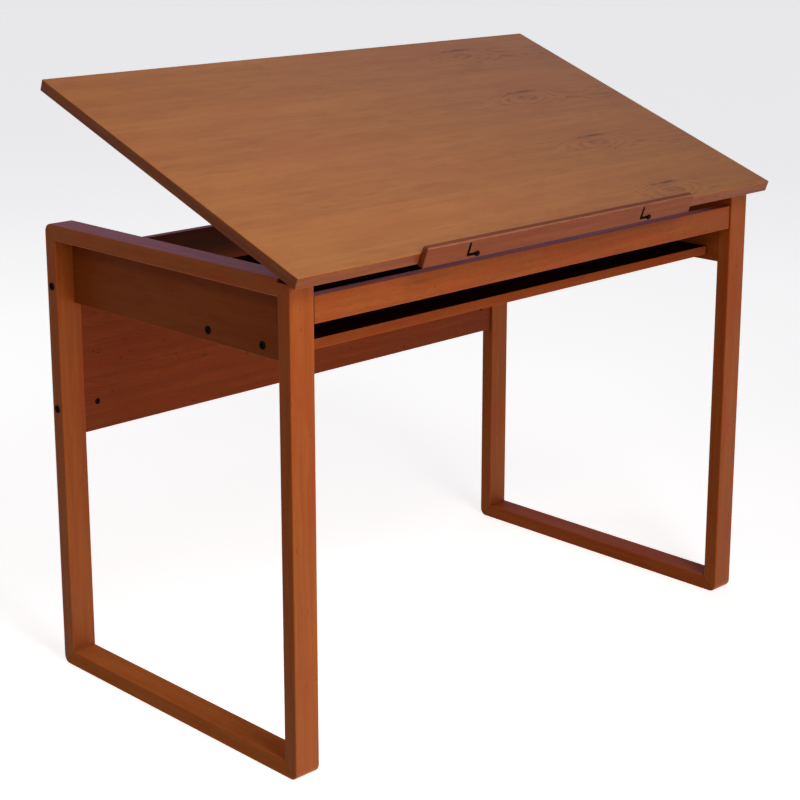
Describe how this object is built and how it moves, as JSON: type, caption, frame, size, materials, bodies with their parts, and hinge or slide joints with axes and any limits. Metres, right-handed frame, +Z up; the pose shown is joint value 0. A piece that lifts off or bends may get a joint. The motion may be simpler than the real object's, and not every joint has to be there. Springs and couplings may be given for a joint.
{
  "type": "drafting table",
  "caption": "Wooden drafting desk with closed side frames, storage slot, modesty panel, and a hinged top with a slide-up pencil ledge on a notched prop.",
  "frame": {"origin": "on the floor, half way across the table and half way between the pencil ledge's foremost edge and the back of the legs, with the top at its rest tilt", "axes": "+X to the sitter's right, +Y from the sitter towards the back, +Z up"},
  "size_m": [1.0668, 0.618, 0.9526],
  "materials": {
    "stained_wood": "red-brown stained hardwood under satin lacquer",
    "top_veneer": "slip-matched knotty veneer, stained brown, satin lacquer",
    "beech": "plain fluted dowel wood",
    "black_steel": "black oxide",
    "plated_steel": "zinc plated",
    "black_rubber": "matt"
  },
  "bodies": {
    "desk": {"cam_bolts": "plated_steel", "cam_discs": "plated_steel", "cross_board_dowels": "beech", "front_apron": "stained_wood", "hinge_frame_leaves": "black_steel", "hinge_frame_screws": "black_steel", "hinge_pins": "black_steel", "left_foot_rail": "stained_wood", "left_front_leg": "stained_wood", "left_rack": "stained_wood", "left_rear_leg": "stained_wood", "left_side_panel": "stained_wood", "left_top_rail": "stained_wood", "mitre_dowels": "beech", "rack_screws": "plated_steel", "rear_panel": "stained_wood", "rear_panel_barrel_nuts": "black_steel", "rear_panel_bolts": "black_steel", "right_foot_rail": "stained_wood", "right_front_leg": "stained_wood", "right_rack": "stained_wood", "right_rear_leg": "stained_wood", "right_side_panel": "stained_wood", "right_top_rail": "stained_wood", "shelf_barrel_nuts": "plated_steel", "shelf_bolts": "black_steel", "shelf_screws": "plated_steel", "side_panel_dowels": "beech", "slot_back": "stained_wood", "slot_shelf": "stained_wood"},
    "top": {"tabletop_panel": "top_veneer", "front_lipping": "stained_wood", "rear_lipping": "stained_wood", "left_lipping": "stained_wood", "right_lipping": "stained_wood", "hinge_top_leaves": "black_steel", "hinge_top_screws": "black_steel", "ledge_screws": "black_steel", "top_bumpers": "black_rubber", "prop_pivot_blocks": "stained_wood", "prop_pivot_pins": "black_steel", "prop_block_screws": "plated_steel"},
    "prop": {"left_prop_arm": "stained_wood", "right_prop_arm": "stained_wood", "prop_crossbar": "stained_wood", "prop_foot_dowel": "stained_wood", "crossbar_screws": "plated_steel"},
    "ledge": {"pencil_ledge": "stained_wood"}
  },
  "joints": [
    {"name": "top_tilt", "type": "hinge", "parent": "desk", "child": "top", "pos_m": [0, -0.26781, 0.7273], "axis": [1, 0, 0], "range_deg": [-20.4, 17.6]},
    {"name": "prop_swing", "type": "hinge", "parent": "top", "child": "prop", "pos_m": [0, 0.02623, 0.82598], "axis": [-1, 0, 0], "range_deg": [-52.38, 45.2]},
    {"name": "ledge_slide", "type": "slide", "parent": "top", "child": "ledge", "axis": [0.726, 0.2397, -0.6446], "range_m": [0, 0.02617]}
  ],
  "couplings": [
    {"joint": "prop_swing", "follows": "top_tilt", "ratio": 2.5654}
  ]
}
